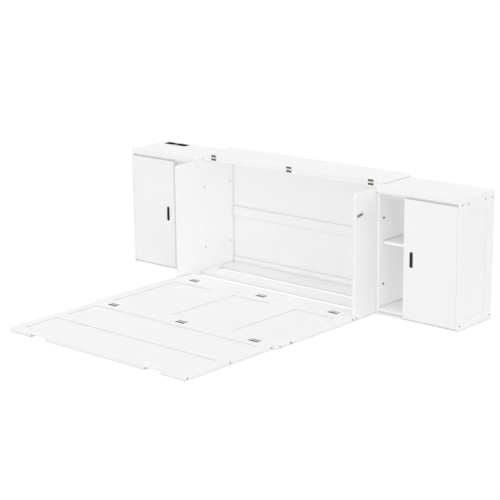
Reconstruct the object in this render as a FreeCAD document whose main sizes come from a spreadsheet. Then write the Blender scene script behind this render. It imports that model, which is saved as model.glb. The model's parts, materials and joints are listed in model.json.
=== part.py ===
# Wall bed: a chest with a fold-out bed platform between two side cabinets.
# Millimetres, +Z up, wall at +Y, front of the unfolded bed at -Y.
# The origin is on the floor, midway across the width and midway along the depth.
import FreeCAD, Part
import os
import re

doc = FreeCAD.newDocument("WallBed")

SIZES = (
    ("chest_width", 1600, "outside width over the two chest sides"),
    ("chest_height", 865, "floor to the top of the fixed top board"),
    ("side_thickness", 22, "chest side board"),
    ("side_overhang", 218, "chest sides stand this far in front of the cabinets"),
    ("side_round", 30, "rounded front top corner of a chest side"),
    ("cabinet_width", 653, "outside width of one cabinet"),
    ("cabinet_depth", 391, "front edge of a cabinet top to the wall"),
    ("case_thickness", 18, "cabinet boards"),
    ("case_setback", 16, "cabinet front rails behind the front edge of its top"),
    ("cabinet_top", 37, "thickness of a cabinet top"),
    ("cabinet_back", 8, "thickness of a cabinet back"),
    ("face_rail", 30, "height of a cabinet's upper front rail"),
    ("face_kick", 42, "height of a cabinet's lower front rail"),
    ("stretcher_depth", 115, "depth of a flat stretcher under a cabinet top"),
    ("shelf_level", 490, "floor to the top of a cabinet shelf"),
    ("shelf_setback", 46, "shelf edge behind the cabinet front rails"),
    ("shelf_gap", 1, "room at each end of a shelf"),
    ("shelf_pin_radius", 2.5, "shelf pin"),
    ("shelf_pin_length", 16, "shelf pin, half of it in the board"),
    ("shelf_pin_inset", 40, "shelf pin from the shelf's front and back edges"),
    ("side_recess", 3, "depth of the sunk field in a cabinet's outer side"),
    ("side_field_front", 96, "board left in front of the sunk field"),
    ("side_field_back", 90, "board left behind the sunk field"),
    ("side_field_bottom", 65, "board left below the sunk field"),
    ("side_field_top", 78, "board left above the sunk field"),
    ("edge_round", 1, "eased edge of a board"),
    ("lid_thickness", 22, "fixed top board and flap"),
    ("fixed_top_depth", 312, "fixed top board, front to wall"),
    ("flap_depth", 312, "flap, hinge edge to free edge"),
    ("flap_gap", 0.5, "room between the open flap and the fixed top"),
    ("flap_rest", 0.3, "room between the closed flap and the chest sides"),
    ("flap_side_gap", 1.5, "room between the flap's end and a cabinet top"),
    ("back_rail", 22, "thickness of the back rails"),
    ("back_panel", 12, "thickness of the back panels"),
    ("back_recess", 8, "back panels behind the face of the back rails"),
    ("back_bottom", 72, "height of the lower back rail"),
    ("back_middle", 69, "height of the middle back rail"),
    ("back_middle_level", 386, "floor to the middle back rail"),
    ("back_top", 66, "height of the upper back rail"),
    ("base_front", 126, "front base rail, front to back"),
    ("base_middle", 110, "middle base rail, front to back"),
    ("base_rear", 129, "rear base rail, front to back"),
    ("deck_thickness", 30, "bed platform and base rails"),
    ("bed_reach", 1796, "cabinet front to the front end of the bed"),
    ("fold_reach", 1014, "cabinet front to the fold across the bed"),
    ("seam_gap", 1, "room between platform boards at a hinge"),
    ("deck_inset", 26, "front platform narrower than the chest, each side"),
    ("rear_deck_back_rail", 95, "rear platform, rail at the chest"),
    ("rear_deck_front_rail", 77, "rear platform, rail at the fold"),
    ("rear_deck_side", 82, "rear platform, outer rails"),
    ("rear_deck_middle", 204, "rear platform, two middle rails"),
    ("front_deck_end_rail", 71, "front platform, rails at its two ends"),
    ("front_deck_middle", 88, "front platform, cross rail"),
    ("front_deck_side", 62, "front platform, outer rails"),
    ("deck_recess", 6, "platform panels below the face of their frame"),
    ("hold_width", 141, "hand hold under the front rail"),
    ("hold_height", 20, "hand hold under the front rail"),
    ("hold_inset", 292.5, "chest side to the centre of a hand hold"),
    ("leaf_thickness", 2, "hinge leaf"),
    ("leaf_gap", 1, "hinge axis above the face of its leaves"),
    ("leaf_fit", 0.3, "room round a leaf in its pocket"),
    ("barrel_radius", 3.6, "hinge knuckle"),
    ("barrel_clearance", 0.5, "room round a knuckle"),
    ("knuckle_gap", 0.3, "room between two knuckles"),
    ("pin_radius", 1.8, "hinge pin"),
    ("pin_clearance", 0.05, "room round a hinge pin"),
    ("pin_head", 1.2, "length of a pin's head"),
    ("deck_leaf_length", 76, "platform hinge, along its pin"),
    ("deck_leaf_reach", 23, "platform hinge, pin to leaf edge"),
    ("deck_hinge_inset", 172.5, "chest side to the centre of an outer platform hinge"),
    ("flap_leaf_length", 45, "flap hinge, along its pin"),
    ("flap_leaf_reach", 19, "flap hinge, pin to leaf edge"),
    ("flap_hinge_inset", 102, "chest side to the centre of an outer flap hinge"),
    ("screw_radius", 1.9, "hinge screw shank"),
    ("screw_head", 3.8, "hinge screw head radius"),
    ("screw_length", 16, "hinge screw"),
    ("screw_fit", 0.08, "room round a screw"),
    ("screw_row", 13, "hinge pin to the row of screws"),
    ("bolt_radius", 3, "frame bolt shank"),
    ("bolt_head", 4.6, "frame bolt head radius"),
    ("bolt_head_depth", 2, "frame bolt head"),
    ("bolt_grip", 34, "frame bolt in the second board"),
    ("bolt_inset", 18, "platform edge to the bolts in its end rails"),
    ("cap_radius", 7, "cap of a bolt that joins a cabinet to the chest"),
    ("cap_depth", 2.5, "cap of a bolt that joins a cabinet to the chest"),
    ("join_low", 198, "floor to the lower joining bolts"),
    ("join_high", 646, "floor to the upper joining bolts"),
    ("join_front", 66, "cabinet front to the front joining bolts"),
    ("join_back", 55, "wall to the rear joining bolts"),
    ("door_width", 408, "sliding door"),
    ("door_side_gap", 1, "door to the cabinet's outer side"),
    ("door_thickness", 15, "sliding door"),
    ("door_floor_gap", 14, "floor to the door"),
    ("door_top_gap", 16, "door to the cabinet top"),
    ("runner_length", 36, "door runner"),
    ("runner_height", 6, "door runner"),
    ("runner_reach", 7, "door runner in its groove"),
    ("runner_clearance", 0.5, "room round a runner in its groove"),
    ("runner_inset", 30, "door edge to its runners"),
    ("runner_level", 5, "upper or lower edge of the door to the centre of its runners"),
    ("pull_width", 26, "flush pull"),
    ("pull_height", 108, "flush pull"),
    ("pull_depth", 10, "flush pull"),
    ("pull_wall", 3, "flush pull wall"),
    ("pull_inset", 60, "door edge to the centre of its pull"),
    ("pull_level", 416, "floor to the centre of a pull"),
    ("pull_fit", 0.2, "room round a pull in its door"),
    ("stud_reach", 652.5, "base hinge to the stud on the rear platform"),
    ("latch_width", 14, "latch bar"),
    ("latch_thickness", 4, "latch bar"),
    ("latch_gap", 0.5, "room between the latch bar and the chest side"),
    ("latch_level", 697, "floor to the latch pivot"),
    ("latch_setback", 25, "chest front edge to the latch pivot"),
    ("latch_pin_radius", 3, "latch pivot and its stud"),
    ("latch_pin_clearance", 0.08, "room round the latch pivot"),
    ("latch_pin_seat", 12, "pivot or stud inside its board"),
    ("latch_catch_gap", 0.6, "room round the stud in the catch"),
    ("latch_head_radius", 5.5, "heads of the pivot and the stud"),
    ("latch_head_depth", 2, "heads of the pivot and the stud"),
    ("power_length", 208, "power unit"),
    ("power_depth", 55, "power unit"),
    ("power_bezel", 3, "power unit above the cabinet top"),
    ("power_lip", 6, "power unit bezel past its tub"),
    ("power_sink", 33, "power unit tub below the cabinet top"),
    ("power_fit", 0.5, "room round the tub"),
    ("power_wall", 3, "power unit wall"),
    ("power_bridge", 24, "bridge between outlets and charging ports"),
    ("power_band", 1, "thickness of the band over the bridge"),
    ("power_side_gap", 55, "cabinet end to the power unit"),
    ("power_wall_gap", 42, "wall to the power unit"),
    ("insert_drop", 1, "inserts below the face of the bezel"),
    ("insert_fit", 0.2, "room round an insert"),
    ("outlet_pitch", 38, "between two outlets"),
    ("outlet_slot_width", 2.4, "outlet blade slot"),
    ("outlet_slot_length", 8, "outlet blade slot"),
    ("outlet_slot_pitch", 12.7, "between the two blade slots"),
    ("outlet_depth", 14, "depth of outlet slots and ports"),
    ("outlet_round", 2.5, "radius of the outlet's round hole"),
    ("outlet_round_offset", 10, "blade slots to the round hole"),
    ("port_length", 13, "charging port"),
    ("port_width", 5.5, "charging port"),
    ("port_pitch", 26, "between two charging ports"),
    ("overrun", 5, "how far a cut runs past the board"),
)
KNUCKLES = 5
DECK_SCREWS = 3
FLAP_SCREWS = 2
LATCH_TILT = 11
HINGE_PLACES = (-1, 0, 1)
ALONG_X = FreeCAD.Rotation(FreeCAD.Vector(0, 1, 0), 90)
ALONG_Y = FreeCAD.Rotation(FreeCAD.Vector(1, 0, 0), -90)
ALONG_Z = FreeCAD.Rotation()
LEAVES_FACE_FRONT = FreeCAD.Rotation(FreeCAD.Vector(1, 0, 0), 90)

# Where things lie, as formulas in the named sizes
WALL_Y = "((cabinet_depth + bed_reach) / 2)"
CASE_Y = f"({WALL_Y} - cabinet_depth)"
FRAME_Y = f"({CASE_Y} + case_setback)"
BOX_Y = f"({FRAME_Y} + case_thickness)"
SIDE_Y = f"({CASE_Y} - side_overhang)"
FOLD_Y = f"({CASE_Y} - fold_reach)"
FOOT_Y = f"({CASE_Y} - bed_reach)"
LID_Y = f"({WALL_Y} - fixed_top_depth)"
BACK_Y = f"({WALL_Y} - back_rail)"
BASE_AXIS_Y = f"({SIDE_Y} - seam_gap / 2)"
DECK_AXIS_Z = "(deck_thickness + leaf_gap)"
LID_AXIS_Y = f"({LID_Y} - leaf_gap)"
LID_AXIS_Z = "(chest_height + (flap_gap + flap_rest) / 2)"
HALF = "(chest_width / 2)"
INNER = f"({HALF} - side_thickness)"
SIDE_TOP = "(chest_height - lid_thickness)"
CASE_TOP = "(chest_height - cabinet_top)"

sheet = doc.addObject("Spreadsheet::Sheet", "Sizes")
for row, (alias, value, meaning) in enumerate(SIZES, start=1):
    sheet.set(f"A{row}", alias)
    sheet.set(f"B{row}", str(value))
    sheet.set(f"C{row}", meaning)
    sheet.setAlias(f"B{row}", alias)
doc.recompute()
NAMES = {alias for alias, value, meaning in SIZES}
corners = {}
nodes = []


def linked(text):
    """Formula text with each size name read from the sheet."""
    def read(word):
        name = word.group()
        return "Sizes." + name if name in NAMES else name
    return re.sub(r"[a-z][a-z0-9_]*", read, text)


def bind(feature, prop, text):
    feature.setExpression(prop, linked(text))


def place(feature, spot, turn=ALONG_Z):
    feature.Placement = FreeCAD.Placement(FreeCAD.Vector(), turn)
    for axis, text in zip("xyz", spot):
        bind(feature, "Placement.Base." + axis, text)


def keep(feature, label):
    """Give a finished piece its name and put it on the list of nodes."""
    feature.Label = label
    nodes.append(feature)
    return feature


# Boards: a block with eased edges, then pockets and bores in the same body
def blank_board(name, spot, size):
    body = doc.addObject("PartDesign::Body", name)
    corners[body.Name] = spot
    place(body, spot)
    blank = body.newObject("PartDesign::AdditiveBox", body.Name + "_blank")
    for prop, text in zip(("Length", "Width", "Height"), size):
        bind(blank, prop, text)
    return body, blank


def board(name, spot, size, node=True):
    body, blank = blank_board(name, spot, size)
    ease(body, blank, "edge_round")
    body.Label = name if node else name + " board"
    if node:
        nodes.append(body)
    return body


def ease(body, base, radius, edges=None):
    eased = body.newObject("PartDesign::Fillet", body.Name + "_eased")
    eased.Base = (base, edges or [])
    eased.UseAllEdges = edges is None
    bind(eased, "Radius", radius)
    return eased


def in_body(body, spot):
    """A place in the whole part, seen from a board's own corner."""
    return [f"({text}) - ({start})" for text, start in zip(spot, corners[body.Name])]


def pocket(body, spot, size):
    gap = body.newObject("PartDesign::SubtractiveBox", body.Name + "_pocket")
    for prop, text in zip(("Length", "Width", "Height"), size):
        bind(gap, prop, text)
    place(gap, in_body(body, spot))


def bore(body, spot, radius, length, turn):
    hole = body.newObject("PartDesign::SubtractiveCylinder", body.Name + "_bore")
    bind(hole, "Radius", radius)
    bind(hole, "Height", length)
    place(hole, in_body(body, spot), turn)


# Hardware: primitives, fused and cut
def block(spot, size):
    solid = doc.addObject("Part::Box", "block")
    for prop, text in zip(("Length", "Width", "Height"), size):
        bind(solid, prop, text)
    place(solid, spot)
    return solid


def rod(spot, radius, length, turn=ALONG_Z):
    solid = doc.addObject("Part::Cylinder", "rod")
    bind(solid, "Radius", radius)
    bind(solid, "Height", length)
    place(solid, spot, turn)
    return solid


def cone(spot, low_radius, high_radius, length):
    solid = doc.addObject("Part::Cone", "cone")
    bind(solid, "Radius1", low_radius)
    bind(solid, "Radius2", high_radius)
    bind(solid, "Height", length)
    place(solid, spot)
    return solid


def fuse(shapes):
    joined = doc.addObject("Part::MultiFuse", "fused")
    joined.Shapes = shapes
    return joined


def cut(base, tools):
    trimmed = doc.addObject("Part::Cut", "trimmed")
    trimmed.Base = base
    trimmed.Tool = tools[0] if len(tools) == 1 else fuse(tools)
    return trimmed


def group(shapes, spot=("0", "0", "0"), turn=ALONG_Z):
    together = doc.addObject("Part::Compound", "group")
    together.Links = shapes
    place(together, spot, turn)
    return together


def mirrored(sign, start, width):
    """The lower X of a piece that lies from start outwards, on either side."""
    return start if sign > 0 else f"(-({start}) - ({width}))"


def side_name(sign):
    return "right" if sign > 0 else "left"


# Hinges, each drawn with its pin along X through the origin and its faces up
def screw_places(length, count):
    """Screws evenly spaced along a leaf."""
    return [f"(({length}) * {2 * i + 1 - count} / {2 * count})" for i in range(count)]


def leaf(x, sign, length, reach, screws):
    """One leaf with its knuckles, on the +Y or the -Y side of the pin."""
    segment = f"(({length}) / {KNUCKLES})"
    root = "(barrel_radius + barrel_clearance)"
    level = "-(leaf_gap + leaf_thickness)"
    start = f"(({x}) - ({length}) / 2)"
    plate_y = root if sign > 0 else f"-({reach})"
    shapes = [block((start, plate_y, level), (length, f"({reach}) - {root}", "leaf_thickness"))]
    first = 0 if sign > 0 else 1
    for i in range(first, KNUCKLES, 2):
        near = f"({start} + {segment} * {i} + knuckle_gap / 2)"
        width = f"({segment} - knuckle_gap)"
        tab_y = "0" if sign > 0 else f"-{root}"
        shapes.append(block((near, tab_y, level), (width, root, "leaf_thickness")))
        shapes.append(rod((near, "0", "0"), "barrel_radius", width, ALONG_X))
    tools = [rod((start, "0", "0"), "pin_radius + pin_clearance", length, ALONG_X)]
    for offset in screw_places(length, screws):
        spot = (f"({x}) + {offset}", f"{sign} * screw_row", level)
        tools.append(rod(spot, "screw_radius + screw_fit", "leaf_thickness"))
        tools.append(cone(spot, "screw_radius + screw_fit", "screw_head + screw_fit", "leaf_thickness"))
    return cut(fuse(shapes), tools)


def hinge_pin(x, length):
    start = f"(({x}) - ({length}) / 2)"
    end = f"(({x}) + ({length}) / 2)"
    shank = rod((start, "0", "0"), "pin_radius", length, ALONG_X)
    head = rod((end, "0", "0"), "barrel_radius - screw_fit", "pin_head", ALONG_X)
    return fuse([shank, head])


def hinge_screw(x, y):
    """A countersunk screw, flush with the face of its leaf."""
    shank = rod((x, y, "-(leaf_gap + screw_length)"), "screw_radius", "screw_length - leaf_thickness")
    head = cone((x, y, "-(leaf_gap + leaf_thickness)"), "screw_radius", "screw_head", "leaf_thickness")
    return fuse([shank, head])


def hinge_row(places, length, reach, screws):
    """All the leaves, pins and screws of one row of hinges."""
    pieces = {"plus": [], "minus": [], "pins": [], "plus_screws": [], "minus_screws": []}
    for x in places:
        pieces["plus"].append(leaf(x, 1, length, reach, screws))
        pieces["minus"].append(leaf(x, -1, length, reach, screws))
        pieces["pins"].append(hinge_pin(x, length))
        for offset in screw_places(length, screws):
            pieces["plus_screws"].append(hinge_screw(f"({x}) + {offset}", "screw_row"))
            pieces["minus_screws"].append(hinge_screw(f"({x}) + {offset}", "-screw_row"))
    return pieces


def clear_barrel(body, x, length, axis):
    """Room for the knuckles and the pin's head along one hinge."""
    start = f"(({x}) - ({length}) / 2 - leaf_fit)"
    room = f"(({length}) + 2 * leaf_fit + pin_head)"
    bore(body, (start, axis[0], axis[1]), "barrel_radius + barrel_clearance", room, ALONG_X)


def seat_deck_hinges(body, sign, axis_y):
    """Pockets and pilot holes for the platform hinges in one rail."""
    for side in HINGE_PLACES:
        x = f"({side} * ({HALF} - deck_hinge_inset))"
        width = "(deck_leaf_length + 2 * leaf_fit)"
        reach = "(deck_leaf_reach + leaf_fit)"
        near = axis_y if sign > 0 else f"({axis_y} - {reach})"
        spot = (f"{x} - {width} / 2", near, "deck_thickness - leaf_thickness")
        pocket(body, spot, (width, reach, "leaf_thickness + overrun"))
        clear_barrel(body, x, "deck_leaf_length", (axis_y, DECK_AXIS_Z))
        for offset in screw_places("deck_leaf_length", DECK_SCREWS):
            low = f"({DECK_AXIS_Z} - leaf_gap - screw_length)"
            hole = (f"{x} + {offset}", f"{axis_y} + {sign} * screw_row", low)
            bore(body, hole, "screw_radius + screw_fit", "screw_length", ALONG_Z)


def seat_flap_hinges(body, sign):
    """Pockets and pilot holes for the flap hinges in a front edge."""
    for side in HINGE_PLACES:
        x = f"({side} * ({HALF} - flap_hinge_inset))"
        width = "(flap_leaf_length + 2 * leaf_fit)"
        reach = "(flap_leaf_reach + leaf_fit)"
        low = LID_AXIS_Z if sign > 0 else f"({LID_AXIS_Z} - {reach})"
        spot = (f"{x} - {width} / 2", f"{LID_Y} - overrun", low)
        pocket(body, spot, (width, "leaf_thickness + overrun", reach))
        clear_barrel(body, x, "flap_leaf_length", (LID_AXIS_Y, LID_AXIS_Z))
        for offset in screw_places("flap_leaf_length", FLAP_SCREWS):
            hole = (f"{x} + {offset}", LID_Y, f"{LID_AXIS_Z} + {sign} * screw_row")
            bore(body, hole, "screw_radius + screw_fit", "screw_length", ALONG_Y)


# Frame bolts run across the width, with a sunk head in an outer face
def frame_bolt(sign, face, y, z, grip):
    """A bolt that enters at |X| = face and runs inwards through grip."""
    head_x = f"({face}) - bolt_head_depth" if sign > 0 else f"-({face})"
    shank = f"(({grip}) - bolt_head_depth)"
    shank_x = f"({face}) - ({grip})" if sign > 0 else f"-({face}) + bolt_head_depth"
    head = rod((head_x, y, z), "bolt_head", "bolt_head_depth", ALONG_X)
    return fuse([head, rod((shank_x, y, z), "bolt_radius", shank, ALONG_X)])


def bolt_together(sign, face, y, z, outer, inner, thickness):
    """A frame bolt at |X| = face through one board into the end of the next."""
    grip = f"({thickness} + bolt_grip)"
    sink = "(bolt_head_depth + overrun)"
    sink_x = f"({face}) - bolt_head_depth" if sign > 0 else f"-({face}) - overrun"
    hole_x = f"({face}) - {grip}" if sign > 0 else f"-({face})"
    bore(outer, (sink_x, y, z), "bolt_head + screw_fit", sink, ALONG_X)
    for body in (outer, inner):
        bore(body, (hole_x, y, z), "bolt_radius + screw_fit", grip, ALONG_X)
    return frame_bolt(sign, face, y, z, grip)


# Chest
def chest_side(sign):
    name = f"chest_side_{side_name(sign)}"
    spot = (mirrored(sign, INNER, "side_thickness"), SIDE_Y, "0")
    size = ("side_thickness", "side_overhang + cabinet_depth", SIDE_TOP)
    body, blank = blank_board(name, spot, size)
    doc.recompute()
    rounded = ease(body, blank, "side_round", [front_top_edge(blank)])
    ease(body, rounded, "edge_round")
    return keep(body, name)


def front_top_edge(blank):
    """The name of the edge along X at the front and the top of a block."""
    whole = blank.Shape.BoundBox
    for number, edge in enumerate(blank.Shape.Edges, start=1):
        box = edge.BoundBox
        if box.YMax < whole.YMax / 2 and box.ZMin > whole.ZMax / 2:
            return f"Edge{number}"
    raise ValueError("the block has no front top edge")


chest_sides = {sign: chest_side(sign) for sign in (-1, 1)}
fixed_top = board("fixed_top", (f"-{HALF}", LID_Y, SIDE_TOP),
                  ("chest_width", "fixed_top_depth", "lid_thickness"))
flap = board("flap", (f"-{HALF} + flap_side_gap", LID_Y, "chest_height + flap_gap"),
             ("chest_width - 2 * flap_side_gap", "flap_depth", "lid_thickness"))
seat_flap_hinges(fixed_top, -1)
seat_flap_hinges(flap, 1)

back_levels = (("0", "back_bottom"), ("back_middle_level", "back_middle"),
               (f"({SIDE_TOP} - back_top)", "back_top"))
back_rails = [board("back_rail", (f"-{INNER}", BACK_Y, low), (f"2 * {INNER}", "back_rail", high), False)
              for low, high in back_levels]
keep(group(back_rails), "back_rails")
back_panels = []
for (low, high), (next_low, next_high) in zip(back_levels, back_levels[1:]):
    start = f"({low} + {high})"
    back_panels.append(board("back_panel", (f"-{INNER}", f"{BACK_Y} + back_recess", start),
                             (f"2 * {INNER}", "back_panel", f"{next_low} - {start}"), False))
keep(group(back_panels), "back_panels")

BASE_ROOM = f"({BACK_Y} - {SIDE_Y} - base_front - base_rear - base_middle)"
base_places = (("base_rail_front", SIDE_Y, "base_front"),
               ("base_rail_middle", f"{SIDE_Y} + base_front + {BASE_ROOM} / 2", "base_middle"),
               ("base_rail_rear", f"{BACK_Y} - base_rear", "base_rear"))
base_rails = [board(name, (f"-{INNER}", y, "0"), (f"2 * {INNER}", depth, "deck_thickness"), False)
              for name, y, depth in base_places]
keep(base_rails[0], "base_rail_front")
keep(group(base_rails[1:]), "base_rails_rear")
seat_deck_hinges(base_rails[0], 1, BASE_AXIS_Y)
frame_bolts = [bolt_together(sign, HALF, f"({SIDE_Y} + bolt_inset)", "deck_thickness / 2",
                             chest_sides[sign], base_rails[0], "side_thickness") for sign in (-1, 1)]


# Cabinets
FAR = f"({HALF} + cabinet_width)"
CASE_X = f"({HALF} + case_thickness)"
CASE_ROOM = "(cabinet_width - 2 * case_thickness)"
STRETCHER_Z = f"({CASE_TOP} - case_thickness)"
REAR_STRETCHER_Y = f"({WALL_Y} - cabinet_back - stretcher_depth)"


def cabinet(sign):
    """One side cabinet; returns the boards that others cut into."""
    depth = f"({WALL_Y} - {FRAME_Y})"
    boards = {}

    def piece(name, start, y, low, size, node=True):
        spot = (mirrored(sign, start, size[0]), y, low)
        return board(f"{side_name(sign)}_{name}", spot, size, node)

    boards["top"] = piece("cabinet_top", HALF, CASE_Y, CASE_TOP,
                          ("cabinet_width", "cabinet_depth", "cabinet_top"))
    boards["inner"] = piece("cabinet_inner_side", HALF, FRAME_Y, "0", ("case_thickness", depth, CASE_TOP))
    boards["outer"] = piece("cabinet_outer_side", f"({FAR} - case_thickness)", CASE_Y, "0",
                            ("case_thickness", "cabinet_depth", CASE_TOP))
    boards["floor"] = piece("cabinet_floor", CASE_X, BOX_Y, "face_kick - case_thickness",
                            (CASE_ROOM, f"({WALL_Y} - cabinet_back - {BOX_Y})", "case_thickness"))
    shelf_y = f"({FRAME_Y} + shelf_setback)"
    piece("shelf", f"{CASE_X} + shelf_gap", shelf_y, "shelf_level - case_thickness",
          (f"({CASE_ROOM} - 2 * shelf_gap)", f"({WALL_Y} - cabinet_back - {shelf_y})", "case_thickness"))
    boards["kick"] = piece("kick", CASE_X, FRAME_Y, "0", (CASE_ROOM, "case_thickness", "face_kick"), False)
    boards["rail"] = piece("face_rail", CASE_X, FRAME_Y, f"{CASE_TOP} - face_rail",
                           (CASE_ROOM, "case_thickness", "face_rail"), False)
    boards["stretchers"] = [
        piece("stretcher", CASE_X, y, STRETCHER_Z, (CASE_ROOM, "stretcher_depth", "case_thickness"), False)
        for y in (BOX_Y, REAR_STRETCHER_Y)]
    boards["back"] = piece("cabinet_back", CASE_X, f"{WALL_Y} - cabinet_back", "face_kick - case_thickness",
                           (CASE_ROOM, "cabinet_back", f"({CASE_TOP} - face_kick + case_thickness)"), False)
    field_x = f"{FAR} - side_recess" if sign > 0 else f"-{FAR} - overrun"
    field = ("side_recess + overrun", "cabinet_depth - side_field_front - side_field_back",
             f"{CASE_TOP} - side_field_bottom - side_field_top")
    pocket(boards["outer"], (field_x, f"{CASE_Y} + side_field_front", "side_field_bottom"), field)
    return boards


cabinets = {sign: cabinet(sign) for sign in (-1, 1)}
both = (cabinets[-1], cabinets[1])
keep(group([case["back"] for case in both]), "cabinet_backs")
keep(group([piece for case in both for piece in case["stretchers"]]), "cabinet_stretchers")
keep(group([case[name] for case in both for name in ("kick", "rail")]), "cabinet_front_rails")

# Cabinet fasteners: bolts through the outer sides, bolts to the chest, shelf pins
shelf_pins = []
joining_bolts = []


def joining_bolt(sign, y, z):
    """A bolt through a chest side and a cabinet side, with a cap at each end."""
    length = "(side_thickness + case_thickness)"
    start = mirrored(sign, INNER, length)
    caps = [rod((f"{start} - cap_depth", y, z), "cap_radius", "cap_depth", ALONG_X),
            rod((f"{start} + {length}", y, z), "cap_radius", "cap_depth", ALONG_X)]
    return fuse([rod((start, y, z), "bolt_radius", length, ALONG_X)] + caps)


def shelf_pin(sign, wall, near, body, y):
    """A pin half sunk in the board whose inner face is at |X| = wall."""
    z = "(shelf_level - case_thickness - shelf_pin_radius)"
    half = "(shelf_pin_length / 2)"
    bore(body, (mirrored(sign, near, half), y, z), "shelf_pin_radius + screw_fit", half, ALONG_X)
    start = mirrored(sign, f"({wall} - {half})", "shelf_pin_length")
    return rod((start, y, z), "shelf_pin_radius", "shelf_pin_length", ALONG_X)


for sign, boards in cabinets.items():
    frame_middle = f"({FRAME_Y} + case_thickness / 3)"
    middle_z = f"({STRETCHER_Z} + case_thickness / 2)"
    for partner, y, z in (
            (boards["rail"], frame_middle, f"({CASE_TOP} - bolt_head - runner_clearance * 3)"),
            (boards["stretchers"][0], f"({BOX_Y} + stretcher_depth / 2)", middle_z),
            (boards["stretchers"][1], f"({REAR_STRETCHER_Y} + stretcher_depth / 6)", middle_z),
            (boards["stretchers"][1], f"({REAR_STRETCHER_Y} + stretcher_depth * 5 / 6)", middle_z),
            (boards["kick"], frame_middle, "(face_kick * 5 / 6)"),
            (boards["floor"], f"({WALL_Y} - side_thickness)", "(face_kick - case_thickness / 2)")):
        frame_bolts.append(bolt_together(sign, FAR, y, z, boards["outer"], partner, "case_thickness"))
    for y in (f"({CASE_Y} + join_front)", f"({WALL_Y} - join_back)"):
        for z in ("join_low", "join_high"):
            joining_bolts.append(joining_bolt(sign, y, z))
            bore(chest_sides[sign], (mirrored(sign, INNER, "side_thickness"), y, z),
                 "bolt_radius + screw_fit", "side_thickness", ALONG_X)
            bore(boards["inner"], (mirrored(sign, HALF, "case_thickness"), y, z),
                 "bolt_radius + screw_fit", "case_thickness", ALONG_X)
    outer_wall = f"({FAR} - case_thickness)"
    for y in (f"({FRAME_Y} + shelf_setback + shelf_pin_inset)",
              f"({WALL_Y} - cabinet_back - shelf_pin_inset)"):
        shelf_pins.append(shelf_pin(sign, CASE_X, f"({CASE_X} - shelf_pin_length / 2)", boards["inner"], y))
        shelf_pins.append(shelf_pin(sign, outer_wall, outer_wall, boards["outer"], y))
keep(group(shelf_pins), "shelf_pins")
keep(group(joining_bolts), "joining_bolts")
keep(group(frame_bolts), "frame_bolts")


# Sliding doors, each on four runners in two grooves
DOOR_HEIGHT = f"({CASE_TOP} - door_top_gap - door_floor_gap)"
UPPER_GROOVE_Z = f"({CASE_TOP} - door_top_gap - runner_level)"
LOWER_GROOVE_Z = "(door_floor_gap + runner_level)"


def slot_shape(x, y, z, width, height, depth):
    """An upright slot with round ends, from y towards the wall."""
    radius = f"(({width}) / 2)"
    straight = f"(({height}) - ({width}))"
    middle = block((f"({x}) - {radius}", y, f"({z}) - {straight} / 2"), (width, depth, straight))
    ends = [rod((x, y, f"({z}) + {end} * {straight} / 2"), radius, depth, ALONG_Y) for end in (-1, 1)]
    return fuse([middle] + ends)


def sliding_door(sign):
    name = side_name(sign)
    end = f"({FAR} - case_thickness - door_side_gap)"
    start = f"({end} - door_width)"
    door = board(f"{name}_door", (mirrored(sign, start, "door_width"), CASE_Y, "door_floor_gap"),
                 ("door_width", "door_thickness", DOOR_HEIGHT))
    pull_x = f"({sign} * ({start} + pull_inset))"
    straight = "(pull_height - pull_width)"
    seat = "(pull_width + 2 * pull_fit)"
    pocket(door, (f"{pull_x} - {seat} / 2", f"{CASE_Y} - overrun", f"pull_level - {straight} / 2"),
           (seat, "pull_depth + overrun", straight))
    for side in (-1, 1):
        bore(door, (pull_x, f"{CASE_Y} - overrun", f"pull_level + {side} * {straight} / 2"),
             f"{seat} / 2", "pull_depth + overrun", ALONG_Y)
    shell = slot_shape(pull_x, CASE_Y, "pull_level", "pull_width", "pull_height", "pull_depth")
    hollow = slot_shape(pull_x, f"{CASE_Y} - overrun", "pull_level", "pull_width - 2 * pull_wall",
                        "pull_height - 2 * pull_wall", "pull_depth - pull_wall + overrun")
    keep(cut(shell, [hollow]), f"{name}_door_pull")
    runners = []
    back = f"({CASE_Y} + door_thickness)"
    reach = "(case_setback - door_thickness + runner_reach)"
    for near in (f"({start} + runner_inset)", f"({end} - runner_inset - runner_length)"):
        for level in (LOWER_GROOVE_Z, UPPER_GROOVE_Z):
            spot = (mirrored(sign, near, "runner_length"), back, f"{level} - runner_height / 2")
            runners.append(block(spot, ("runner_length", reach, "runner_height")))
    keep(group(runners), f"{name}_door_runners")
    cut_groove(cabinets[sign]["rail"], sign, UPPER_GROOVE_Z)
    cut_groove(cabinets[sign]["kick"], sign, LOWER_GROOVE_Z)


def cut_groove(body, sign, level):
    """A groove for the runners along the whole front of a rail."""
    height = "(runner_height + 2 * runner_clearance)"
    spot = (mirrored(sign, CASE_X, CASE_ROOM), f"{FRAME_Y} - overrun", f"{level} - {height} / 2")
    pocket(body, spot, (CASE_ROOM, "runner_reach + runner_clearance + overrun", height))


for sign in (-1, 1):
    sliding_door(sign)

# Bed platform: a rear half hinged to the base, a front half hinged to the rear one
REAR_START = f"({SIDE_Y} - seam_gap)"
REAR_END = f"({FOLD_Y} + seam_gap / 2)"
FRONT_START = f"({FOLD_Y} - seam_gap / 2)"
NARROW = f"({HALF} - deck_inset)"
INFILL = "(deck_thickness - 2 * deck_recess)"


def platform_sides(name, half, width, low_y, length):
    """The two outer rails of a platform, as one node."""
    sides = [board(name, (x, low_y, "0"), (width, length, "deck_thickness"), False)
             for x in (f"-{half}", f"{half} - {width}")]
    keep(group(sides), name)
    return sides


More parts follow.
